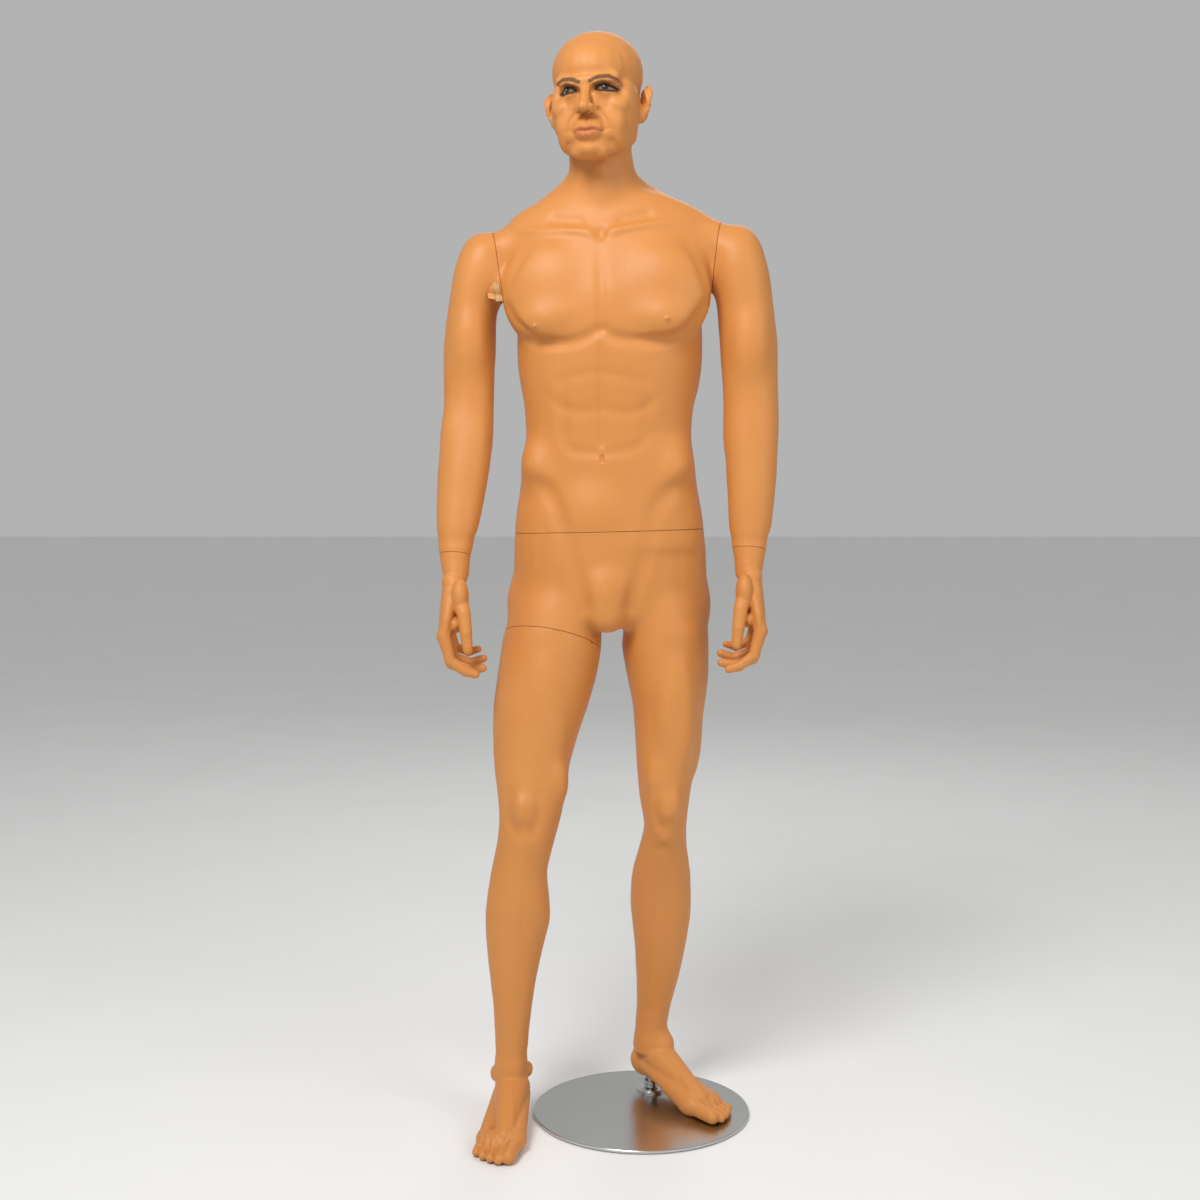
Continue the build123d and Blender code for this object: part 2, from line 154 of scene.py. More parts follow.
# strokes on the clay: raise or press along a line, as seen from one side
class Strokes:
    def __init__(self, clay, place=None):
        self.clay = clay
        self.place = place or Matrix()
        self.read()

    def read(self):
        mesh = self.clay.data
        count = len(mesh.vertices)
        co, no = np.empty(count * 3), np.empty(count * 3)
        mesh.vertices.foreach_get("co", co)
        mesh.vertex_normals.foreach_get("vector", no)
        back = np.array(self.place.inverted())
        self.co = (co.reshape(-1, 3) @ back[:3, :3].T + back[:3, 3]) / mm
        self.no = no.reshape(-1, 3) @ back[:3, :3].T

    def write(self):
        there = np.array(self.place)
        co = self.co * mm @ there[:3, :3].T + there[:3, 3]
        self.clay.data.vertices.foreach_set("co", co.ravel())
        self.clay.data.update()
        self.read()

    def smoothLine(self, points, amounts):
        if len(points) == 1:
            points, amounts = [points[0], points[0]], [amounts[0], amounts[0]]
        p = np.array([np.append(q, a) for q, a in zip(points, amounts)], float)
        p = np.vstack([2 * p[0] - p[1], p, 2 * p[-1] - p[-2]])
        line = []
        for i in range(1, len(p) - 2):
            for t in np.linspace(0, 1, 7)[:-1]:
                line.append(0.5 * (2 * p[i] + (p[i + 1] - p[i - 1]) * t
                            + (2 * p[i - 1] - 5 * p[i] + 4 * p[i + 1] - p[i + 2]) * t * t
                            + (3 * p[i] - p[i - 1] - 3 * p[i + 1] + p[i + 2]) * t ** 3))
        return np.array(line + [p[-2]])

    # the line is seen from the front, back, left or right, or has three coordinates
    def draw(self, line, width, height, side="front", push=None):
        looks = {"front": ((0, 2), (0, -1, 0)), "back": ((0, 2), (0, 1, 0)), "left": ((1, 2), (1, 0, 0)),
                 "right": ((1, 2), (-1, 0, 0)), "top": ((0, 1), (0, 0, 1)), "below": ((0, 1), (0, 0, -1))}
        heights = height if isinstance(height, (list, tuple)) else [height] * len(line)
        path = self.smoothLine(line, heights)
        axes, look = looks[side]
        if path.shape[1] == 4:
            axes = (0, 1, 2)
        seen = self.co[:, axes]
        low, high = path[:, :-1].min(0) - width, path[:, :-1].max(0) + width
        near = np.where(((seen > low) & (seen < high)).all(1))[0]
        if len(axes) == 2:
            near = near[self.no[near] @ np.array(look) > 0.02]
        if not len(near):
            return
        q, best, tall = seen[near], np.full(len(near), 1e9), np.zeros(len(near))
        for a, b in zip(path, path[1:]):
            along = b[:-1] - a[:-1]
            t = np.clip(((q - a[:-1]) @ along) / max(along @ along, 1e-9), 0, 1)
            d = np.linalg.norm(q - a[:-1] - t[:, None] * along, axis=1)
            nearer = d < best
            best = np.where(nearer, d, best)
            tall = np.where(nearer, a[-1] + t * (b[-1] - a[-1]), tall)
        fall = np.clip(1 - (best / width) ** 2, 0, 1) ** 2 * tall
        if len(axes) == 2:
            fall = fall * np.clip(self.no[near] @ np.array(look) * 2.2, 0, 1)
        way = self.no[near] if push is None else np.array(push, float)
        self.co[near] += way * fall[:, None]

    # the same stroke on both halves of a face or back, mirrored in x
    def both(self, line, width, height, side="front", push=None):
        for sign in (1, -1):
            mirrored = [(sign * q[0],) + tuple(q[1:]) for q in line]
            way = None if push is None else (sign * push[0], push[1], push[2])
            self.draw(mirrored, width, height, side, way)

    def relax(self, times, where=None):
        count = len(self.co)
        edges = np.empty(len(self.clay.data.edges) * 2, int)
        self.clay.data.edges.foreach_get("vertices", edges)
        a, b = edges[::2], edges[1::2]
        degree = np.maximum(np.bincount(a, minlength=count) + np.bincount(b, minlength=count), 1)
        amount = 0.5 if where is None else 0.5 * where(self.co)[:, None]
        for _ in range(times):
            mean = np.stack([np.bincount(a, self.co[b, k], count) + np.bincount(b, self.co[a, k], count)
                             for k in range(3)], 1) / degree[:, None]
            self.co += (mean - self.co) * amount


# cutting tools

def copyOf(piece, name):
    twin = piece.copy()
    twin.data = piece.data.copy()
    twin.name = twin.data.name = name
    bpy.context.collection.objects.link(twin)
    return twin


def selectFaces(piece, chosen):
    mesh = piece.data
    mesh.vertices.foreach_set("select", np.zeros(len(mesh.vertices), bool))
    mesh.edges.foreach_set("select", np.zeros(len(mesh.edges), bool))
    mesh.polygons.foreach_set("select", chosen)


def faceFacts(piece):
    mesh = piece.data
    count = len(mesh.polygons)
    centre, normal, area = np.empty(count * 3), np.empty(count * 3), np.empty(count)
    mesh.polygons.foreach_get("center", centre)
    mesh.polygons.foreach_get("normal", normal)
    mesh.polygons.foreach_get("area", area)
    return centre.reshape(-1, 3), normal.reshape(-1, 3), area


# takes away what the normal points to
def sliceOff(piece, point, normal, fill=True):
    pick(piece)
    editMode()
    bpy.ops.mesh.select_all(action="SELECT")
    bpy.ops.mesh.bisect(
        plane_co=Vector(point) * mm, plane_no=normal, use_fill=fill, clear_outer=True, clear_inner=False)
    objectMode()


# two open halves of one piece, and the way back
def split(piece, point, normal):
    beyond = copyOf(piece, piece.name + "Beyond")
    sliceOff(piece, point, normal, fill=False)
    sliceOff(beyond, point, [-n for n in normal], fill=False)
    return piece, beyond


def weld(*pieces):
    pick(*pieces)
    bpy.ops.object.join()
    editMode("VERT")
    bpy.ops.mesh.select_all(action="SELECT")
    bpy.ops.mesh.remove_doubles(threshold=0.00001)
    bpy.ops.mesh.select_all(action="DESELECT")
    bpy.ops.mesh.select_non_manifold()
    bpy.ops.mesh.fill_holes(sides=0)
    objectMode()
    return pieces[0]


def keepNear(piece, seed):
    centre, _, _ = faceFacts(piece)
    chosen = np.zeros(len(centre), bool)
    chosen[np.argmin(np.linalg.norm(centre / mm - np.array(seed), axis=1))] = True
    pick(piece)
    selectFaces(piece, chosen)
    editMode()
    bpy.ops.mesh.select_linked()
    bpy.ops.mesh.select_all(action="INVERT")
    bpy.ops.mesh.delete(type="VERT")
    objectMode()
    return piece


# two open ends of one limb are bridged and smoothed into one skin
def graft(base, tip, level):
    pick(base, tip)
    bpy.ops.object.join()
    editMode("EDGE")
    bpy.ops.mesh.select_all(action="DESELECT")
    bpy.ops.mesh.select_non_manifold(
        extend=False, use_wire=False, use_boundary=True, use_multi_face=False, use_non_contiguous=False,
        use_verts=False)
    bpy.ops.mesh.bridge_edge_loops()
    objectMode()
    editMode("VERT")
    bpy.ops.mesh.select_all(action="SELECT")
    bpy.ops.mesh.normals_make_consistent(inside=False)
    objectMode()
    skin = Strokes(base)
    skin.relax(40, lambda co: np.clip(1.4 - np.abs(co[:, 2] - level) / 14, 0, 1))
    skin.write()


# the seams, from the joints of the frame: point in mm, and the direction of the twist
seams = {j["name"]: (np.array(j["pos_m"]) / mm, np.array(j["axis"])) for j in frame["joints"]
         if j["type"] == "hinge"}
seamGap = 0.6
print("tools ready, seams:", ", ".join(seams))


# the body, in clay

torso = {
    "middle": (-58, 34, 0),
    "turn": -6,
    # height, x, y, half width, half depth
    "rings": [(1000, 0, 2, 167, 106), (1060, 0, -1, 162, 99), (1115, 0, -3, 154, 94),
              (1190, 0, -4, 144, 91),
              (1246, 0, -3, 148, 95), (1310, 0, -1, 157, 103), (1385, 0, 2, 158, 108),
              (1430, 0, 4, 168, 108),
              (1480, 0, 8, 186, 98), (1520, 0, 10, 194, 86), (1550, 0, 12, 184, 74), (1572, 0, 13, 168, 64),
              (1590, 0, 13, 134, 58), (1606, 1, 12, 92, 54)],
    # centre and half sizes, for the figure's left half
    "muscles": [
        ((84, -44, 1432), (98, 58, 98)),  # chest
        ((86, -62, 1392), (80, 48, 46)),
        ((110, -20, 1448), (60, 56, 54)),
        ((128, 14, 1345), (34, 60, 120)),  # side of the back
        ((30, -78, 1300), (30, 18, 34)),  # stomach, three rows
        ((30, -74, 1258), (31, 18, 26)),
        ((29, -70, 1200), (31, 18, 30)),
        ((0, -48, 1110), (80, 46, 74)),
        ((112, -22, 1140), (40, 60, 60)),  # flank
        ((72, 78, 1440), (56, 30, 70)),  # shoulder blade
        ((28, 72, 1200), (24, 24, 150)),  # along the spine
        ((96, 26, 1555), (84, 36, 30)),
        ((120, 4, 1500), (70, 50, 46)),
    ],
}
neck = {
    "rings": [(1585, -60, 47, 104, 58), (1606, -63, 46, 76, 57), (1626, -67, 45, 60, 55),
              (1660, -71, 38, 55, 53),
              (1690, -74, 31, 53, 51), (1722, -76, 24, 46, 45)],
    "strands": [((-118, 30, 1690), (-88, -8, 1566), 13, 10), ((-30, 22, 1690), (-56, -10, 1566), 13, 10),
                ((-72, -6, 1640), (-72, -8, 1590), 17, 15), ((-92, 64, 1650), (-176, 62, 1566), 20, 26),
                ((-54, 60, 1650), (52, 44, 1568), 20, 26)],
}
arms = {
    "right": [(1520, -268, 58, 40, 50), (1480, -285, 58, 42, 56), (1440, -290, 58, 43, 57),
              (1400, -296, 57, 44, 52), (1349, -299, 54, 47, 48), (1297, -300, 48, 46, 46),
              (1246, -300, 42, 45, 43), (1220, -301, 36, 46, 43), (1194, -303, 30, 48, 43),
              (1142, -307, 15, 47, 41), (1091, -312, 4, 44, 38), (1040, -317, -9, 37, 33),
              (1010, -320, -16, 31, 30), (985, -321, -23, 26, 28), (955, -319, -31, 22, 28)],
    "left": [(1520, 152, 20, 44, 50), (1480, 168, 20, 48, 56), (1440, 172, 20, 50, 57),
             (1400, 177, 20, 50, 52), (1349, 182, 19, 52, 48), (1297, 184, 17, 50, 46),
             (1246, 186, 14, 49, 43), (1220, 186, 11, 50, 43), (1194, 185, 8, 50, 43),
             (1142, 187, 1, 46, 41), (1091, 186, -5, 43, 38), (1040, 184, -13, 37, 33),
             (1010, 182, -19, 31, 30), (985, 182, -25, 26, 28), (955, 180, -31, 22, 28)],
    "muscles": [
        ((-274, 58, 1474), (50, 56, 72)), ((162, 20, 1478), (50, 56, 76)),  # shoulders
        ((-226, 55, 1516), (40, 42, 36)), ((112, 24, 1526), (42, 42, 38)),
        ((-297, 24, 1350), (36, 32, 82)), ((182, -12, 1350), (38, 32, 82)),  # upper arms, front
        ((-302, 86, 1372), (36, 28, 88)), ((184, 50, 1372), (38, 28, 88)),  # and back
        ((-326, 20, 1190), (24, 28, 62)), ((208, 0, 1190), (26, 28, 62)),  # forearms, outside
        ((-284, 10, 1170), (23, 26, 66)), ((166, -4, 1170), (23, 26, 66)),  # and inside
    ],
}
hips = {
    "rings": [(1075, -57, 33, 160, 97), (1040, -57, 34, 164, 102), (1000, -56, 36, 167, 106),
              (955, -55, 38, 169, 108), (915, -56, 38, 170, 104), (885, -57, 36, 158, 94),
              (864, -58, 32, 122, 72)],
    "muscles": [
        ((-122, 90, 922), (70, 66, 80)), ((10, 94, 924), (68, 64, 78)),  # buttocks
        ((-205, 38, 900), (32, 48, 66)), ((94, 42, 900), (28, 48, 62)),
        ((-62, -40, 926), (52, 44, 64)), ((-62, -46, 892), (36, 36, 36)),
        ((-66, -26, 1060), (92, 46, 90)),
    ],
}
legs = {
    "right": [(970, -118, 36, 60, 74), (930, -136, 30, 74, 84), (905, -145, 26, 79, 88),
              (856, -155, 20, 84, 92), (830, -157, 16, 88, 91), (778, -165, 6, 87, 88),
              (727, -176, -5, 83, 82), (676, -185, -15, 74, 75), (627, -191, -27, 66, 67),
              (577, -191, -38, 59, 60),
              (540, -193, -46, 54, 55), (501, -200, -50, 50, 50), (446, -213, -46, 49, 49),
              (390, -215, -40, 56, 54),
              (362, -215, -38, 58, 54), (308, -221, -36, 50, 49), (253, -224, -37, 41, 42),
              (199, -225, -39, 34, 37),
              (145, -227, -41, 30, 34), (110, -228, -41, 29, 36), (80, -229, -42, 29, 36)],
    "left": [(970, 6, 38, 56, 74), (930, 22, 34, 70, 84), (905, 30, 32, 75, 88), (855, 42, 28, 74, 91),
             (829, 40, 27, 77, 90), (777, 45, 23, 72, 87),
             (724, 47, 16, 63, 80), (673, 44, 8, 57, 73), (622, 40, -2, 50, 65), (571, 39, -8, 45, 58),
             (540, 40, -8, 40, 53), (516, 41, -4, 37, 49), (485, 38, 10, 41, 47), (426, 35, 36, 53, 49),
             (367, 35, 56, 56, 50), (339, 36, 61, 54, 49), (282, 35, 71, 47, 46), (223, 31, 81, 40, 40),
             (165, 24, 90, 32, 36), (109, 17, 93, 29, 36), (80, 17, 93, 29, 36)],
    "muscles": [
        ((-166, -60, 722), (42, 30, 126)), ((54, -48, 722), (38, 28, 120)),  # front of the thigh
        ((-218, -20, 690), (30, 50, 110)), ((82, 4, 700), (24, 44, 110)),
        ((-150, -62, 606), (26, 28, 48)), ((22, -42, 612), (22, 26, 44)),
        ((-146, 40, 740), (38, 42, 96)), ((-196, 36, 736), (30, 40, 92)),  # back of the thigh
        ((20, 58, 744), (34, 42, 92)), ((64, 54, 740), (26, 38, 90)),
        ((-203, -94, 562), (25, 14, 30)), ((46, -60, 562), (24, 12, 29)),  # kneecaps
        ((-204, -92, 505), (17, 12, 22)), ((41, -42, 508), (16, 12, 20)),
        ((-196, -16, 394), (32, 34, 84)), ((-236, -14, 404), (27, 30, 76)),  # calves
        ((18, 68, 384), (28, 38, 80)), ((56, 64, 394), (26, 36, 74)),
    ],
}
cuts = {"neck": 1636, "ankle": 116}


def mirroredLumps(muscles):
    made = []
    for (x, y, z), size in muscles:
        for side in ((1, -1) if x else (1,)):
            made.append(lump((side * x, y, z), size))
    return made


def neckParts():
    return [tube(neck["rings"])] + [bone(*strand) for strand in neck["strands"]]


trunk = gather([tube(torso["rings"])] + mirroredLumps(torso["muscles"]), torso["middle"],
               (0, 0, torso["turn"]))
bodyParts = [trunk, tube(hips["rings"])] + neckParts()
for limbs in (arms, legs):
    bodyParts += [tube(limbs["right"]), tube(limbs["left"])]
for region in (arms, hips, legs):
    bodyParts += [lump(*muscle) for muscle in region["muscles"]]
bodyClay = knead("bodyClay", bodyParts, 4.6, 12)
print("body kneaded:", len(bodyClay.data.polygons), "faces")



def refine(piece, place, test):
    centre, _, _ = faceFacts(piece)
    back = np.array(place.inverted())
    chosen = test((centre @ back[:3, :3].T + back[:3, 3]) / mm)
    pick(piece)
    selectFaces(piece, chosen)
    editMode()
    bpy.ops.mesh.subdivide(number_cuts=1)
    objectMode()


def near(spots, reach):
    return lambda c: np.any([np.linalg.norm(c[:, (0, 2)] - np.array(s), axis=1) < reach for s in spots],
                            axis=0)


smallMarks = [(-183, 1375), (38, 1385), (-70, 1153)]
for reach in (26, 17):
    refine(bodyClay, Matrix(), lambda c: near(smallMarks, reach)(c) & (c[:, 1] < 0))
skin = Strokes(bodyClay)
skin.relax(30, lambda co: np.clip(1.5 - np.abs(co[:, 2] - 915) / 45, 0, 1))
skin.relax(34, lambda co: np.clip((co[:, 2] - 1040) / 60, 0, 1))
skin.relax(20, lambda co: np.clip((860 - co[:, 2]) / 40, 0, 1))
skin.write()
for line, width, height in [
    # under the chest
    ([(-234, 1411), (-214, 1378), (-181, 1351), (-140, 1346), (-106, 1352), (-78, 1366)], 15,
     [-4, -7, -9, -9, -7, -5]),
    ([(-66, 1366), (-48, 1356), (-7, 1350), (35, 1351), (68, 1364), (92, 1391), (109, 1416)], 15,
     [-5, -7, -9, -9, -8, -7, -4]),
    ([(-73, 1500), (-72, 1448), (-70, 1374)], 14, [-1, -3, -5]),
    ([(-70, 1345), (-70, 1284), (-71, 1180)], 12, [-2, -4.5, -4]),
    ([(-192, 1509), (-214, 1478), (-234, 1432)], 14, [-2, -5, -3]),  # chest to shoulder
    ([(72, 1512), (92, 1480), (108, 1436)], 14, [-2, -4, -3]),
    # collar bones
    ([(-86, 1529), (-110, 1536), (-140, 1537), (-180, 1537), (-215, 1545)], 11, [4, 6, 5, 4, 2]),
    ([(-60, 1530), (-36, 1538), (-4, 1544), (36, 1548), (78, 1550)], 11, [4, 6, 5, 4, 2]),
    ([(-72, 1530)], 17, -7),
    ([(-108, 1550), (-150, 1556)], 16, -4),
    ([(-36, 1552), (6, 1562)], 16, -4),
    ([(-144, 1284), (-115, 1292), (-73, 1298), (-32, 1290), (4, 1283)], 14, [-1, -2, -1.5, -2, -1]),
    ([(-164, 1262), (-140, 1242), (-106, 1232), (-73, 1238), (-32, 1230), (4, 1240), (32, 1262)], 14,
     [-0.5, -2, -2.2, -1.5, -2.2, -2, -0.5]),
    ([(-134, 1188), (-120, 1169), (-73, 1164), (-23, 1169), (4, 1184), (20, 1200)], 15,
     [-1, -2.4, -2.2, -2.4, -2, -1]),
    ([(-128, 1330), (-138, 1270), (-134, 1200)], 18, [-1, -2, -2]),  # beside the stomach
    ([(-8, 1330), (8, 1270), (4, 1200)], 18, [-1, -2, -2]),
    ([(-194, 1120), (-165, 1102), (-146, 1070), (-128, 1018), (-113, 959), (-100, 905)], 22,
     [-2, -4, -3, -2.5, -4, -5]),
    ([(76, 1120), (42, 1094), (20, 1066), (7, 1012), (-6, 959), (-21, 905)], 22,
     [-2, -4, -3, -2.5, -4, -5]),
    ([(-190, 1136), (-150, 1124)], 24, 1.5), ([(72, 1136), (34, 1124)], 24, 1.5),
    ([(-183, 1375)], 9, 1.5), ([(38, 1385)], 9, 1.5),
    ([(-183, 1375)], 4, 3), ([(38, 1385)], 4, 3),
    ([(-70, 1157), (-70, 1149)], 5, -4), ([(-70, 1145)], 4.5, 1),
    # knees
    ([(-225, 590), (-228, 548), (-214, 520)], 12, -3), ([(-178, 590), (-176, 552), (-188, 520)], 12, -3),
    ([(24, 590), (20, 556), (30, 524)], 10, -2.5), ([(68, 590), (70, 556), (60, 524)], 10, -2.5),
    ([(-203, 575), (-203, 548)], 16, 2), ([(46, 575), (46, 548)], 15, 2),
    ([(-206, 480), (-214, 400), (-222, 300), (-228, 180)], 13, [2, 2.5, 2.5, 1.5]),  # shins
    ([(36, 470), (30, 380), (24, 280), (14, 180)], 12, [2, 2.5, 2.5, 1.5]),
]:
    skin.draw(line, width, height, "front")
for line, width, height in [
    ([(-48, 1560), (-46, 1450), (-46, 1300), (-48, 1180), (-54, 1060)], 20, [-3, -6, -7, -7, -4]),  # spine
    ([(-58, 985), (-57, 930), (-57, 880)], 18, [-5, -10, -10]),
    ([(-150, 848), (-110, 842), (-75, 852)], 16, [-3, -5, -4]),
    ([(70, 848), (20, 842), (-30, 852)], 16, [-3, -5, -4]),
    ([(-110, 1500), (-92, 1440), (-104, 1380)], 18, [-2, -4, -4]),
    ([(22, 1500), (2, 1440), (12, 1380)], 18, [-2, -4, -4]),
    ([(-206, 540)], 26, -3), ([(40, 520)], 24, -3),
    ([(-216, 440), (-216, 360)], 12, -2.5), ([(36, 440), (36, 360)], 12, -2.5),
    ([(-226, 200), (-227, 130)], 10, 2), ([(20, 200), (17, 130)], 10, 2),
]:
    skin.draw(line, width, height, "back")
skin.write()
skin.relax(2)
skin.write()
print("body drawn")


# head

head = {
    "place": (-77, 14, 1760),
    "turn": (0, -2.5, -13),
    "parts": [
        ((0, 10, 43), (78, 90, 69)), ((0, -10, 38), (68, 84, 60)), ((0, 26, 24), (70, 72, 66)),
        ((0, -32, -30), (60, 56, 74)), ((0, -54, -66), (42, 40, 44)),
        ((0, -68, -94), (26, 28, 18)),
        ((0, -86, 12), (28, 12, 12)),
    ],
    "pairs": [
        ((45, -54, -26), (22, 25, 20)), ((33, -56, -52), (28, 28, 34)), ((56, -20, -22), (18, 44, 50)),
        ((42, -38, -64), (20, 36, 34)),
    ],
    "bones": [  # start, end and radii, made on both sides
        ((60, 2, -16), (52, -10, -70), 14, 15), ((52, -10, -70), (17, -70, -97), 15, 15),
        ((10, -84, 13), (46, -70, 19), 11, 10),
    ],
}
headPlace = Matrix.Translation(Vector(head["place"]) * mm) @ Euler([math.radians(a)
                                                                    for a in head["turn"]]).to_matrix().to_4x4()
headParts = [lump(*part) for part in head["parts"]] + mirroredLumps(head["pairs"])
for (x0, y0, z0), (x1, y1, z1), r0, r1 in head["bones"]:
    headParts += [bone((side * x0, y0, z0), (side * x1, y1, z1), r0, r1) for side in (1, -1)]
headParts += [
    bone((0, -84, 6), (0, -107, -30), 8, 9.5), lump((0, -110, -32), (10.5, 11, 9.5)),  # nose
    lump((11, -101, -35), (8.5, 11, 8)), lump((-11, -101, -35), (8.5, 11, 8)),
    lump((0, -78, -66), (27, 24, 24)),
]
for side in (1, -1):  # ears
    headParts += [
        lump((side * 81, 12, -10), (6, 19, 30), (0, side * 8, side * 30)),
        lump((side * 75, 2, -34), (7, 11, 13), (0, 0, side * 24)),
    ]
headLump = gather(headParts, head["place"], head["turn"])
headClay = knead("headClay", [headLump] + neckParts(), 2.5, 8)
print("head kneaded:", len(headClay.data.polygons), "faces")


refine(headClay, headPlace,
       lambda c: ((c[:, 1] < -46) & (np.abs(c[:, 0]) < 52) & (c[:, 2] > -84) & (c[:, 2] < 26))
       | (np.abs(c[:, 0]) > 69) & (np.abs(c[:, 1] - 8) < 26) & (np.abs(c[:, 2] + 12) < 36))
face = Strokes(headClay, headPlace)
face.relax(3)
for line, width, height, push in [
    ([(32, 1)], 24, -9, (0, 1, 0)),  # eye sockets
    ([(17, 3)], 11, -5, (0, 1, 0)),
    ([(20, 8), (34, 9), (48, 5)], 9, -4, (0, 1, 0)),
    ([(31.5, 0)], 15, 5.5, (0, -1, 0)),  # eyeballs
    ([(12, 14), (28, 19), (46, 17)], 9, [1.5, 2.5, 1.5], (0, -1, 0)),
    ([(50, 0), (54, -14)], 14, -2, None),
    ([(11, 2), (14, -14), (17, -28)], 8, [-3, -4, -3], (0, 1, 0)),  # beside the nose
    ([(19, -37), (28, -50), (31, -64)], 9, [-2.5, -3, -2], None),
    ([(40, -46), (38, -64)], 16, [-2.5, -3], None),  # hollow of the cheek
    ([(26, -80), (36, -92)], 12, -2, None),
]:
    face.both(line, width, height, "front", push)
face.write()
face.relax(2)
for line, width, height in [
    ([(0, -45), (0, -59)], 4.5, [-1.2, -2]),
    ([(-25, -69.5), (-12, -68), (0, -69.5), (12, -68), (25, -69.5)], 4, [-1, -2.4, -2.8, -2.4, -1]),
    ([(-19, -66), (-8, -63), (0, -64), (8, -63), (19, -66)], 5.5, [0.6, 2, 1.6, 2, 0.6]),
    ([(-17, -73), (-7, -75), (7, -75), (17, -73)], 7, [0.8, 2.4, 2.4, 0.8]),
    ([(-14, -84), (0, -86), (14, -84)], 8, [-2.5, -4, -2.5]),
    ([(0, -100)], 15, 2),
    ([(0, 4), (0, -20)], 5, 1),
]:
    face.draw(line, width, height, "front")
for line, width, height in [
    ([(17, -1.5), (24, 5), (33, 6.5), (42, 4), (47, -1)], 3, [-1, -2, -2.2, -2, -1]),  # upper lids
    ([(18, 1), (24, 8), (33, 9.5), (42, 7), (48, 2)], 3.5, [0.5, 1.4, 1.6, 1.3, 0.5]),
    ([(17, -2), (25, -5.5), (33, -6.5), (41, -5), (46, -1.5)], 2.8, [-0.8, -1.2, -1.3, -1.2, -0.8]),
    ([(16, -1.5)], 4, -2),
    ([(15, -28), (18.5, -33), (18.5, -41)], 5, [-0.6, -1.4, -1]),  # wings of the nose
    ([(25.5, -69.5)], 6, -1.4),
]:
    face.both(line, width, height, "front")
face.both([(6.5, -103)], 4.5, -3, "below", (0, 0, 1))
for side in ("left", "right"):
    for line, width, height in [
        ([(4, -30), (-4, -22), (-2, -6), (8, 8), (18, 4), (20, -12), (14, -28)], 4,
         [0, 1, 2.5, 3.5, 3.5, 3, 1.5]),
        ([(8, -8), (9, -20)], 9, [-5, -6]),
        ([(2, -18)], 5, 2.5),
        ([(4, -38)], 6, 1.5),
    ]:
        face.draw(line, width, height, side)
face.write()
face.relax(1)
face.write()
print("face drawn")


# feet

foot = {
    "lumps": [((0, -34, 50), (30, 33, 30)), ((0, -60, 86), (30, 39, 42)), ((22, -192, 20), (22, 30, 20)),
              ((-4, -196, 18), (34, 28, 18)), ((-27, -180, 16), (17, 28, 16)), ((27, -44, 88), (9, 13, 14)),
              ((-28, -58, 84), (9, 13, 14))],
    "bones": [((3, -76, 66), (7, -200, 27), 30, 16), ((-12, -50, 44), (-26, -175, 17), 22, 15),
              ((14, -60, 50), (24, -185, 22), 20, 18), ((0, -16, 96), (0, -24, 58), 13, 20)],
    "toes": [((24, -205, 18), (20, -249, 13.5), 14, 12), ((6, -212, 15), (4, -253, 10), 9.5, 8.4),
             ((-8, -208, 14), (-10, -246, 9.5), 9, 8), ((-21, -200, 13), (-24, -236, 9), 8.6, 7.6),
             ((-33, -190, 12), (-37, -222, 8.5), 8.4, 7.4)],
    "right": {"heel": (-223, 20, 0), "turn": -4.8, "big toe": 1},
    "left": {"heel": (-6, 139, 6.5), "turn": 35, "big toe": -1},
}


def flipX(point, side):
    return (side * point[0],) + tuple(point[1:])


def makeFoot(side):
    pose = foot[side]
    way = pose["big toe"]
    parts = [lump(flipX(centre, way), size) for centre, size in foot["lumps"]]
    parts += [bone(flipX(a, way), flipX(b, way), r0, r1) for a, b, r0, r1 in foot["bones"] + foot["toes"]]
    placed = gather(parts, pose["heel"], (0, 0, pose["turn"]))
    clay = knead(side + "Foot", [placed, tube(legs[side][-5:])], 2, 5)
    place = Matrix.Translation(Vector(pose["heel"]) * mm) @ Matrix.Rotation(math.radians(pose["turn"]), 4,
                                                                            "Z")
    form = Strokes(clay, place)
    for (x0, y0, _), (x1, y1, _), _, _ in foot["toes"]:  # nails
        x, y = way * x1, y1 - 3
        form.draw([(x, y + 4), (x, y + 1)], 5 if abs(x0) == 24 else 3.6, 0.8, "top")
    for toe, following in zip(foot["toes"], foot["toes"][1:]):  # between the toes
        x0, y0 = (toe[0][0] + following[0][0]) / 2 * way, (toe[0][1] + following[0][1]) / 2
        x1, y1 = (toe[1][0] + following[1][0]) / 2 * way, (toe[1][1] + following[1][1]) / 2
        form.draw([(x0, y0 - 6), (x1, y1)], 4.5, [-1, -3.5], "top")
    form.draw([(way * 6, -110), (way * 20, -190)], 7, [1, 1.5], "top")  # a tendon
    form.draw([(way * 26, -110), (way * 28, -70)], 26, [-3, -2], "below")
    form.co[:, 2] = np.maximum(form.co[:, 2], 0.0)
    form.write()
    sliceOff(clay, (0, 0, cuts["ankle"] - 2), (0, 0, 1), fill=False)
    return clay


rightFoot, leftFoot = makeFoot("right"), makeFoot("left")
print("feet kneaded")


# hands: outward from the wrist, forward, and height, as the right hand hangs

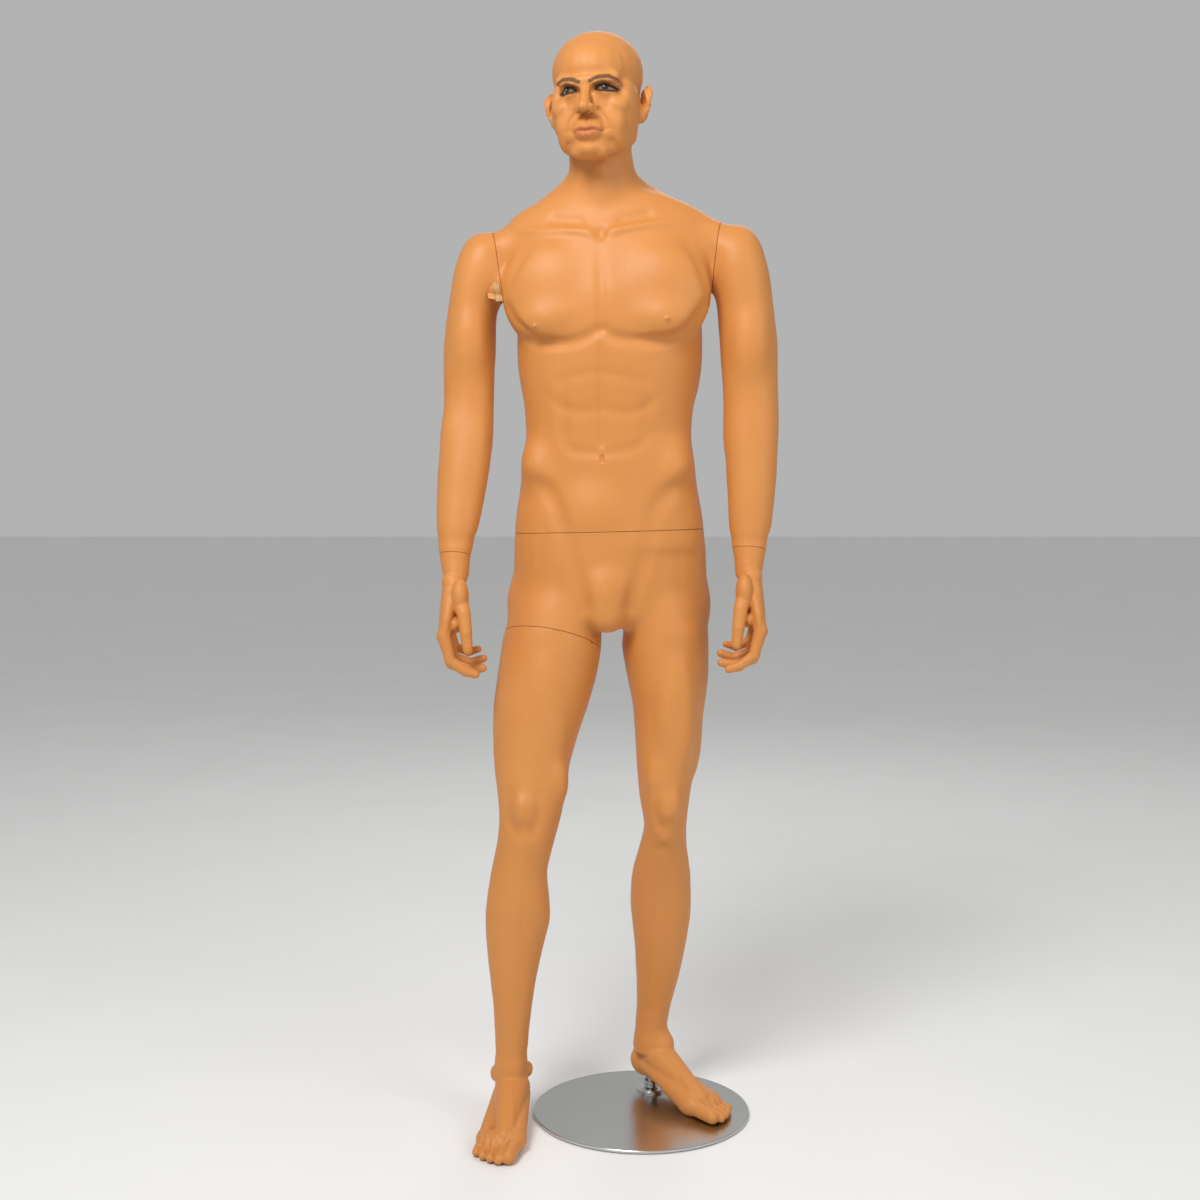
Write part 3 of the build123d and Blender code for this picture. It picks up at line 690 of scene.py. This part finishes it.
hand = {
    "graft": 1008,
    "palm": [(1040, 4, 9, 37, 33), (1010, 1, 16, 31, 30), (985, 0, 23, 26, 28), (955, -2, 31, 21, 28),
             (935, 2, 38, 19, 32), (912, 6, 46, 17, 38), (885, 10, 53, 15, 41), (860, 13, 56, 13, 39)],
    "fingers": {
        "index": [(4, 62, 930), (14, 84, 857), (4, 85, 815), (-20, 83, 797), (-38, 80, 791)],
        "middle": [(4, 50, 930), (17, 63, 853), (3, 64, 807), (-27, 64, 796), (-49, 62, 800)],
        "ring": [(4, 38, 930), (15, 43, 856), (1, 43, 815), (-27, 43, 806), (-49, 43, 814)],
        "little": [(4, 28, 930), (11, 25, 863), (1, 24, 832), (-22, 25, 823), (-39, 27, 828)],
        "thumb": [(2, 46, 945), (-19, 86, 895), (-23, 92, 863), (-26, 93, 834)],
    },
    "radii": {"index": (13, 11, 9.4, 8.6, 7), "middle": (13, 11.2, 9.8, 8.8, 7.2),
              "ring": (13, 10.6, 9.4, 8.4, 7),
              "little": (12, 9.6, 8.2, 7.4, 6.2), "thumb": (19, 12, 10.6, 8.6)},
    "lumps": [((-12, 70, 922), (15, 22, 30)), ((4, 26, 905), (14, 18, 40)), ((-4, 56, 875), (12, 34, 16))],
    "right": {"wrist": -321, "outward": -1, "lift": 0},
    "left": {"wrist": 182, "outward": 1, "lift": 9},
}


def makeHand(side):
    at = hand[side]

    def spot(x, forward, z):
        return (at["wrist"] + at["outward"] * x, -forward, z + at["lift"])

    wristRings = [ring for ring in arms[side] if ring[0] > 950]
    parts = [tube(wristRings[-4:]
                  + [spot(x, f, z)[2:] + spot(x, f, z)[:2] + (t, b) for z, x, f, t, b in hand["palm"][4:]])]
    for name, joints in hand["fingers"].items():
        radii = hand["radii"][name]
        spots = [spot(*joint) for joint in joints]
        parts += [bone(*pair) for pair in zip(spots, spots[1:], radii, radii[1:])]
    parts += [lump(spot(*centre), size) for centre, size in hand["lumps"]]
    clay = knead(side + "Hand", parts, 1.35, 5)
    form = Strokes(clay)
    out = at["outward"]
    for name in ("index", "middle", "ring", "little"):
        knuckle, bend, last, tip = [spot(*joint) for joint in hand["fingers"][name][1:]]
        form.draw([(knuckle[0] + out * 9, knuckle[1], knuckle[2])], 11, 1.4, push=(out, 0, 0))
        form.draw([(bend[0] + out * 8, bend[1], bend[2] - 2)], 8, 1.2)
        form.draw([(last[0], last[1], last[2] - 8)], 7, 0.8)
    # between the knuckles
    for first, second in (("index", "middle"), ("middle", "ring"), ("ring", "little")):
        a, b = spot(*hand["fingers"][first][1]), spot(*hand["fingers"][second][1])
        x, y, z = [(p + q) / 2 for p, q in zip(a, b)]
        form.draw([(x + out * 10, y, z + 16), (x + out * 10, y, z - 10)], 8, [-0.6, -2], push=(out, 0, 0))
    tip, joint = spot(*hand["fingers"]["thumb"][3]), spot(*hand["fingers"]["thumb"][2])
    form.draw([(tip[0], tip[1] - 8, tip[2] - 1), (tip[0], tip[1] - 8, tip[2] + 5)], 6, 0.9)  # thumb nail
    form.draw([(joint[0], joint[1] - 9, joint[2])], 7, 0.9)
    form.write()
    sliceOff(clay, (0, 0, hand["graft"]), (0, 0, 1), fill=False)
    return clay


# the clay is cut into the moulded shells

rough = {"waist": (0, 0, 1), "right_thigh": (0, 0, -1), "right_shoulder": (-1, 0, 0),
         "left_shoulder": (1, 0, 0),
         "right_wrist": (0, 0, -1), "left_wrist": (0, 0, -1)}
shell = {"wall": 4.5, "edge": 0.8, "board": 9}
fittings = {  # the plate's radius and thickness, the room for the key's head, and how deep the pocket goes
    "waist": (45, 4, 26.5, 34), "right_thigh": (40, 4, 23.5, 30), "right_shoulder": (28, 3, 18.5, 24),
    "left_shoulder": (28, 3, 18.5, 24), "right_wrist": (16, 2.5, 9.5, 22), "left_wrist": (16, 2.5, 9.5, 22)}


def seamOf(name):
    joint = next(j for j in seams if j.startswith(name))
    point, axis = seams[joint]
    return point, axis * math.copysign(1, axis @ np.array(rough[name]))


# side 1 keeps what the seam's direction points to, -1 keeps the other
def cutAtSeam(piece, name, side):
    point, way = seamOf(name)
    sliceOff(piece, point + way * side * seamGap / 2, -way * side)


def findCap(piece, point, normal):
    centre, facing, area = faceFacts(piece)
    flat = (np.abs((centre / mm - point) @ normal) < 0.05) & (facing @ normal > 0.99)
    chosen = np.zeros(len(area), bool)
    chosen[np.argmax(np.where(flat, area, 0))] = True
    return chosen


# the cut end gets a small rounded edge, a wall, a pocket and the board that is glued into it
def openEnd(piece, name, side, boardName):
    point, way = seamOf(name)
    plateRadius, plate, room, pocket = fittings[name]
    outward = -way * side
    rim = point + way * side * seamGap / 2
    pick(piece)
    selectFaces(piece, findCap(piece, rim, outward))
    editMode()
    bpy.ops.mesh.select_mode(type="VERT")
    bpy.ops.mesh.remove_doubles(threshold=1.2 * mm)
    objectMode()
    selectFaces(piece, findCap(piece, rim, outward))
    editMode()
    bpy.ops.mesh.bevel(offset=shell["edge"] * mm, segments=2, affect="EDGES")
    objectMode()
    selectFaces(piece, findCap(piece, rim, outward))
    before = set(bpy.data.objects)
    editMode()
    bpy.ops.mesh.inset(thickness=(shell["wall"] - shell["edge"]) * mm)
    bpy.ops.mesh.duplicate()
    bpy.ops.mesh.separate(type="SELECTED")
    objectMode()
    board = (set(bpy.data.objects) - before).pop()
    selectFaces(piece, findCap(piece, rim, outward))
    editMode()
    middle = point * mm - Vector(outward) * pocket * mm
    bpy.ops.mesh.extrude_region_move(TRANSFORM_OT_translate={"value": -Vector(outward) * pocket * mm})
    bpy.ops.transform.resize(value=(0.9, 0.9, 0.9), center_override=middle)
    objectMode()
    board.name = board.data.name = boardName
    pick(board)
    editMode()
    bpy.ops.mesh.select_all(action="SELECT")
    depth = seamGap / 2 + plate
    bpy.ops.transform.translate(value=-Vector(outward) * depth * mm)
    bpy.ops.transform.resize(value=[0.994] * 3, center_override=Vector(point - outward * depth) * mm)
    bpy.ops.mesh.extrude_region_move(TRANSFORM_OT_translate={"value": -Vector(outward) * shell["board"] * mm})
    bpy.ops.mesh.select_all(action="SELECT")
    bpy.ops.mesh.normals_make_consistent(inside=False)
    objectMode()
    if side < 0:
        drill(board, point, way, room, 60)
    board.modifiers.new("edge", "BEVEL").width = 0.5 * mm
    board.modifiers["edge"].limit_method = "ANGLE"
    pick(board)
    bpy.ops.object.modifier_apply(modifier="edge")
    return board


def drill(piece, point, way, radius, depth):
    deselectAll()
    bpy.ops.mesh.primitive_cylinder_add(
        vertices=64, radius=radius * mm, depth=2 * depth * mm, location=Vector(point) * mm,
        rotation=Vector(way).to_track_quat("Z", "Y").to_euler())
    bit = bpy.context.active_object
    hole = piece.modifiers.new("hole", "BOOLEAN")
    hole.object = bit
    hole.solver = "EXACT"
    pick(piece)
    bpy.ops.object.modifier_apply(modifier="hole")
    bpy.data.objects.remove(bit)


levels = {"armpit": 1409, "between": -52}
up = (0, 0, 1)
belowArmpits, shoulders = split(bodyClay, (0, 0, levels["armpit"]), up)

wholeArms, hands = {}, {}
for side in ("right", "left"):
    armTop = copyOf(shoulders, side + "Arm")
    cutAtSeam(armTop, side + "_shoulder", 1)
    lowerArm = keepNear(copyOf(belowArmpits, side + "LowerArm"), arms[side][5][1:3] + (1290,))
    arm = weld(armTop, lowerArm)
    sliceOff(arm, (0, 0, hand["graft"] + 3), (0, 0, -1), fill=False)
    graft(arm, makeHand(side), hand["graft"])
    hands[side] = copyOf(arm, side + "Hand")
    cutAtSeam(hands[side], side + "_wrist", 1)
    cutAtSeam(arm, side + "_wrist", -1)
    wholeArms[side] = arm
print("arms and hands cut")

for side in ("right", "left"):
    cutAtSeam(shoulders, side + "_shoulder", -1)
trunkClay = weld(shoulders, keepNear(belowArmpits, (-58, -70, 1250)))
torsoAndHead = copyOf(trunkClay, "torsoAndHead")
cutAtSeam(torsoAndHead, "waist", 1)
sliceOff(torsoAndHead, (0, 0, cuts["neck"] - 3), up, fill=False)
sliceOff(headClay, (0, 0, cuts["neck"] + 3), (0, 0, -1), fill=False)
graft(torsoAndHead, headClay, cuts["neck"])

cutAtSeam(trunkClay, "waist", -1)
leftHalf, rightHalf = split(trunkClay, (levels["between"], 0, 0), (-1, 0, 0))
rightLeg = copyOf(rightHalf, "rightLeg")
cutAtSeam(rightLeg, "right_thigh", 1)
cutAtSeam(rightHalf, "right_thigh", -1)
hipsAndLeftLeg = weld(leftHalf, rightHalf)
hipsAndLeftLeg.name = hipsAndLeftLeg.data.name = "hipsAndLeftLeg"
for leg, sole in ((rightLeg, rightFoot), (hipsAndLeftLeg, leftFoot)):
    sliceOff(leg, (0, 0, cuts["ankle"] + 2), (0, 0, -1), fill=False)
    graft(leg, sole, cuts["ankle"])
print("trunk and legs cut")

boards = {
    "waist_lower_board": openEnd(hipsAndLeftLeg, "waist", -1, "waistLowerBoard"),
    "waist_upper_board": openEnd(torsoAndHead, "waist", 1, "waistUpperBoard"),
    "thigh_upper_board": openEnd(hipsAndLeftLeg, "right_thigh", -1, "thighUpperBoard"),
    "thigh_lower_board": openEnd(rightLeg, "right_thigh", 1, "thighLowerBoard"),
}
for side in ("right", "left"):
    boards[side + "_shoulder_board"] = openEnd(torsoAndHead, side + "_shoulder", -1, side + "ShoulderBoard")
    boards[side + "_arm_board"] = openEnd(wholeArms[side], side + "_shoulder", 1, side + "ArmBoard")
    boards[side + "_wrist_board"] = openEnd(wholeArms[side], side + "_wrist", -1, side + "WristBoard")
    wristPoint, wristWay = seamOf(side + "_wrist")
    drill(hands[side], wristPoint, wristWay, fittings[side + "_wrist"][0] + 0.15, seamGap
          + fittings[side + "_wrist"][1])
socketPoint = (20, 92, 0)
drill(hipsAndLeftLeg, socketPoint, (0, 0, 1), 10.3, 118)
print("ends opened, boards glued in")


# finishes

class Wire:
    def __init__(self, finish, socket):
        self.finish = finish
        self.socket = socket

    def use(self, operation, *values):
        return self.finish.node("ShaderNodeMath", {"operation": operation}, dict(enumerate(values)))

    def __add__(self, other):
        return self.use("ADD", self, other)

    def __sub__(self, other):
        return self.use("SUBTRACT", self, other)

    def __rsub__(self, other):
        return self.use("SUBTRACT", other, self)

    def __mul__(self, other):
        return self.use("MULTIPLY", self, other)

    def __truediv__(self, other):
        return self.use("DIVIDE", self, other)

    def __pow__(self, other):
        return self.use("POWER", self, other)

    __radd__ = __add__
    __rmul__ = __mul__

    def clamp(self):
        return self.use("MINIMUM", self.use("MAXIMUM", self, 0.0), 1.0)


class Finish:
    def __init__(self, name, **fixed):
        self.material = bpy.data.materials.new(name)
        self.material.use_nodes = True
        self.tree = self.material.node_tree
        self.tree.nodes.clear()
        self.shader = self.tree.nodes.new("ShaderNodeBsdfPrincipled")
        output = self.tree.nodes.new("ShaderNodeOutputMaterial")
        self.tree.links.new(self.shader.outputs["BSDF"], output.inputs["Surface"])
        for socket, value in fixed.items():
            self.shader.inputs[socket.replace("_", " ")].default_value = value
        self.place = self.node("ShaderNodeTexCoord", {}, {}, "Object")

    def node(self, kind, settings, links, out=0):
        made = self.tree.nodes.new(kind)
        for name, value in settings.items():
            if name == "stops":
                for stop, (at, colour) in zip(made.color_ramp.elements, value):
                    stop.position, stop.color = at, colour
            else:
                setattr(made, name, value)
        for name, value in links.items():
            self.feed(made.inputs[name], value)
        return Wire(self, made.outputs[out])

    def feed(self, socket, value):
        if isinstance(value, Wire):
            self.tree.links.new(value.socket, socket)
        else:
            socket.default_value = value

    def set(self, socket, value):
        self.feed(self.shader.inputs[socket], value)

    def noise(self, scale, detail=3, where=None):
        return self.node("ShaderNodeTexNoise", {},
                         {"Vector": where or self.place, "Scale": scale, "Detail": detail}, "Fac")

    def mix(self, factor, first, second):
        return self.node("ShaderNodeMix", {"data_type": "RGBA"}, {0: factor, 6: first, 7: second}, 2)

    def bump(self, height, strength, distance):
        self.set("Normal",
                 self.node("ShaderNodeBump", {},
                           {"Height": height, "Strength": strength, "Distance": distance}))

    def axes(self, vector):
        return [self.node("ShaderNodeSeparateXYZ", {}, {0: vector}, axis) for axis in "XYZ"]


def srgb(red, green, blue):
    return [((c / 255 + 0.055) / 1.055) ** 2.4 if c > 10 else c / 3294.6 for c in (red, green, blue)] + [1]


skinPaint = {"deeper": srgb(196, 124, 58), "lighter": srgb(210, 141, 74), "roughness": 0.5}
# face paint; the darkest colour is the liner, and it also serves as painted shade in the nostrils and along the
# parting of the lips
makeup = {
    "brow": srgb(72, 52, 38), "linerAndPaintedShade": srgb(30, 20, 17), "shadow": srgb(78, 47, 32),
    "white": srgb(150, 124, 104),
    # the last colour is a painted highlight, the light spot that stands for the lamp's reflection in the eyes
    "iris": srgb(44, 32, 28), "lips": srgb(188, 102, 66), "paintedHighlight": srgb(240, 236, 230)}


def paintSkin(name):
    paint = Finish(name, Specular_IOR_Level=0.4)
    mottle = paint.noise(9, 4)
    fine = paint.noise(420, 2)
    peel = paint.noise(1400, 1)
    paint.colour = paint.mix(mottle * 0.8 + fine * 0.2, skinPaint["deeper"], skinPaint["lighter"])
    paint.set("Base Color", paint.colour)
    paint.set("Roughness", skinPaint["roughness"] - 0.05 + mottle * 0.06 + fine * 0.05)
    paint.bump(peel + mottle * 0.5, 0.06, 0.0006)
    return paint


# a soft-edged painted line between two points of the face, with a width at each end
def touch(x, z, start, end, startWidth, endWidth, soft):
    dx, dz = end[0] - start[0], end[1] - start[1]
    t = (((x - start[0]) * dx + (z - start[1]) * dz) / (dx * dx + dz * dz + 1e-6)).clamp()
    gap = ((x - start[0] - t * dx) ** 2 + (z - start[1] - t * dz) ** 2) ** 0.5
    return ((startWidth + t * (endWidth - startWidth) - gap) / soft + 0.5).clamp()


def together(masks):
    joined = masks[0]
    for mask in masks[1:]:
        joined = joined.use("MAXIMUM", joined, mask)
    return joined


def stroked(x, z, points, widths, soft):
    return together([touch(x, z, *pair, soft) for pair in zip(points, points[1:], widths, widths[1:])])


def paintHead():
    paint = paintSkin("paintedHead")
    local = paint.node(
        "ShaderNodeMapping", {"vector_type": "TEXTURE"},
        {"Vector": paint.place, "Location": Vector(head["place"]) * mm, "Scale": (mm, mm, mm),
         "Rotation": [math.radians(a) for a in head["turn"]]})
    across, depth, z = paint.axes(local)
    x = across.use("ABSOLUTE", across)
    front = ((-50 - depth) / 8).clamp()
    hairs = paint.node("ShaderNodeMapping", {},
                       {"Vector": local, "Rotation": (0, 0.7, 0), "Scale": (0.25, 0.3, 1.6)})
    broken = paint.noise(1.2, 2, hairs)
    shadow = stroked(x, z, [(18, 1), (31, 3), (46, 1)], [4.5, 7.5, 4.5], 6)
    white = stroked(x, z, [(21, -1.2), (32, -0.6), (43, -1)], [1, 3.2, 0.8], 1.2)
    iris = touch(x, z, (32, 0), (32, 0.5), 4.7, 4.7, 0.9)
    pupil = touch(x, z, (32, 0), (32, 0.5), 2.2, 2.2, 0.8)
    # painted highlight: a small light spot on each eye, standing for the lamp's reflection
    paintedHighlight = together([touch(across, z, (spot, 1.4), (spot + 0.2, 1.4), 0.8, 0.8, 0.6)
                      for spot in (30.4, -33.6)])
    upper = stroked(x, z, [(15, -2.5), (22, 2.2), (32, 4.2), (41, 3), (50, -0.5)],
                    [0.9, 1.8, 2.4, 2.2, 1.1], 1.2)
    lower = stroked(x, z, [(18, -3), (26, -4.8), (35, -5.2), (46, -2.4)], [0.8, 1.3, 1.6, 1.3], 1.4)
    brow = stroked(x, z, [(10, 10), (23, 15.5), (38, 17.5), (53, 12)], [3.4, 4.3, 3.8, 1.4], 2.6)
    lips = together([
        stroked(x, z, [(0, -65.5), (8, -64.5), (17, -67), (25, -69.3)], [3.4, 3.8, 2.2, 0.6], 1.6),
        stroked(x, z, [(0, -73), (9, -73), (20, -70.5)], [4.2, 4, 1.4], 1.6)])
    # painted shade: a dark line along the parting of the lips
    lipPartingShade = stroked(x, z, [(0, -69.4), (12, -68), (25, -69.6)], [0.5, 0.5, 0.4], 1)
    # painted shade: darkening inside the nostrils
    nostrilShade = touch(x, z, (6.5, -41), (8.5, -40.6), 1.6, 1.4, 2)
    colour = paint.colour
    # the makeup is laid over the skin, with painted shade in the lip parting and the nostrils and a painted
    # highlight on the eyes
    for mask, amount, tone in (
            (lips, 0.75, "lips"), (lipPartingShade, 0.6, "linerAndPaintedShade"), (nostrilShade, 0.5, "linerAndPaintedShade"), (shadow, 0.75, "shadow"),
            (white, 1, "white"), (iris * white.use("GREATER_THAN", white, 0.2), 1, "iris"),
            (pupil, 1, "linerAndPaintedShade"),
            (upper, 1, "linerAndPaintedShade"), (lower, 0.8, "linerAndPaintedShade"), (paintedHighlight, 1, "paintedHighlight"),
            (brow * (0.55 + broken * 0.7).clamp(), 0.95, "brow")):
        colour = paint.mix(mask * front * amount, colour, makeup[tone])
    paint.set("Base Color", colour)
    return paint.material


def turnedSteel(name, tone, roughness, rings, centre=(0, 0, 0)):
    steel = Finish(name, Metallic=1.0)
    moved = steel.node("ShaderNodeVectorMath", {"operation": "SUBTRACT"},
                       {0: steel.place, 1: Vector(centre) * mm})
    x, y, z = steel.axes(moved)
    radius = (x ** 2 + y ** 2) ** 0.5
    grain = steel.node("ShaderNodeTexNoise", {"noise_dimensions": "1D"},
                       {"W": radius * rings, "Detail": 4}, "Fac")
    smears = steel.noise(7, 4)
    steel.set("Base Color", steel.mix(smears, tone, [c * 0.86 for c in tone[:3]] + [1]))
    steel.set("Roughness", roughness + grain * 0.1 + smears * 0.06)
    steel.bump(grain, 0.08, 0.0004)
    return steel.material


def castAlloy():
    alloy = Finish("castAlloy", Metallic=1.0)
    pits = alloy.noise(900, 3)
    alloy.set("Base Color", alloy.mix(alloy.noise(60, 4), srgb(150, 150, 152), srgb(182, 182, 184)))
    alloy.set("Roughness", 0.38 + pits * 0.2)
    alloy.bump(pits, 0.25, 0.0005)
    return alloy.material


def zincScrew():
    zinc = Finish("zincScrew", Metallic=1.0)
    cloudy = zinc.noise(240, 3)
    zinc.set("Base Color", zinc.mix(cloudy, srgb(168, 166, 160), srgb(206, 204, 198)))
    zinc.set("Roughness", 0.26 + cloudy * 0.16)
    zinc.bump(zinc.noise(1600, 2), 0.1, 0.0003)
    return zinc.material


def boardWood():
    wood = Finish("boardWood", Roughness=0.7)
    stretched = wood.node("ShaderNodeMapping", {}, {"Vector": wood.place, "Scale": (14, 160, 160)})
    grain = wood.noise(1.3, 5, stretched)
    fibre = wood.noise(6, 3, stretched)
    wood.set("Base Color", wood.mix(grain, srgb(170, 128, 84), srgb(206, 168, 118)))
    wood.set("Roughness", 0.6 + fibre * 0.25)
    wood.bump(fibre, 0.35, 0.0006)
    return wood.material


def pressedFelt():
    felt = Finish("pressedFelt", Roughness=0.95)
    fibres = felt.noise(1500, 4)
    felt.set("Base Color", felt.mix(fibres, srgb(38, 38, 40), srgb(70, 70, 72)))
    felt.bump(fibres, 0.6, 0.0008)
    return felt.material


bodyPaint = paintSkin("bodyPaint").material
headPaint = paintHead()
slotFinishes = {
    "plate": turnedSteel("turnedPlate", srgb(205, 205, 203), 0.12, 2600),
    "spigot": turnedSteel("chromedSpigot", srgb(222, 222, 222), 0.1, 5200, (20, 92, 0)),
    "fitting": castAlloy(), "screw": zincScrew(), "board": boardWood(), "felt": pressedFelt(),
    "body": bodyPaint}
for node in frame["nodes"].values():
    for slot in node.material_slots:
        kind = slot.material.name.split(".")[0]
        slot.material = slotFinishes[kind]
print("finishes mixed")


# every piece gets its finish, its body and the node it stands for

def placePiece(piece, body, node, slot="body"):
    piece.data.materials.clear()
    piece.data.materials.append(slotFinishes[slot])
    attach(piece, body)
    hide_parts(node)


placePiece(torsoAndHead, "upper_body", "torso_head_shell")
placePiece(hipsAndLeftLeg, "lower_body", "pelvis_left_leg_shell")
placePiece(rightLeg, "right_leg", "right_leg_shell")
for side in ("right", "left"):
    placePiece(wholeArms[side], side + "_arm", side + "_arm_shell")
    placePiece(hands[side], side + "_palm", side + "_hand")
boardBodies = {
    "waist_lower_board": "lower_body", "waist_upper_board": "upper_body", "thigh_upper_board": "lower_body",
    "thigh_lower_board": "right_leg", "right_shoulder_board": "upper_body",
    "left_shoulder_board": "upper_body",
    "right_arm_board": "right_arm", "left_arm_board": "left_arm", "right_wrist_board": "right_arm",
    "left_wrist_board": "left_arm"}
for node, board in boards.items():
    placePiece(board, boardBodies[node], node, "board")
torsoAndHead.data.materials.append(headPaint)
centre, _, _ = faceFacts(torsoAndHead)
torsoAndHead.data.polygons.foreach_set("material_index", (centre[:, 2] > cuts["neck"] * mm).astype(int))
for piece in [torsoAndHead, hipsAndLeftLeg, rightLeg, *wholeArms.values(), *hands.values()]:
    pick(piece)
    bpy.ops.object.shade_smooth_by_angle(angle=math.radians(38))
for board in boards.values():
    pick(board)
    bpy.ops.object.shade_smooth_by_angle(angle=math.radians(30))
print("pieces placed")


# floor, lights and camera

studio = {
    "floor": 40, "key": (-1.2, -2.3, 3.6, 1.6, 105), "fill": (2.4, -2.4, 2.4, 2.2, 30),
    "back": (0.4, 3.0, 3.0, 2.0, 22),
    "cameraPlace": (-0.0732, -3.0095, 1.1732), "cameraTilt": 90 - 4.994, "lens": 52.5}
deselectAll()
bpy.ops.mesh.primitive_plane_add(size=studio["floor"], location=(0, 0, 0))
floor = bakePlace(bpy.context.active_object)
floor.name = "paleFloor"
ground = Finish("paleGround", Roughness=0.6)
ground.set("Base Color", ground.mix(ground.noise(3, 3), srgb(232, 232, 231), srgb(238, 238, 237)))
floor.data.materials.append(ground.material)
for name in ("key", "fill", "back"):
    x, y, z, size, power = studio[name]
    bpy.ops.object.light_add(type="AREA", location=(x, y, z))
    lamp = bpy.context.active_object
    lamp.name, lamp.data.shape = name + "Light", "DISK"
    lamp.data.size, lamp.data.energy = size, power
    lamp.rotation_euler = (Vector((-0.05, 0, 1.15)) - lamp.location).to_track_quat("-Z", "Y").to_euler()
world = bpy.data.worlds.new("studioAir")
bpy.context.scene.world = world
world.use_nodes = True
world.node_tree.nodes["Background"].inputs["Color"].default_value = (1, 1, 1, 1)
world.node_tree.nodes["Background"].inputs["Strength"].default_value = 0.45
bpy.ops.object.camera_add(location=studio["cameraPlace"],
                          rotation=(math.radians(studio["cameraTilt"]), 0, 0))
camera = bpy.context.active_object
camera.data.lens, camera.data.sensor_width = studio["lens"], 36
bpy.context.scene.camera = camera
bpy.context.scene.view_settings.view_transform = "Standard"

print("scene ready")
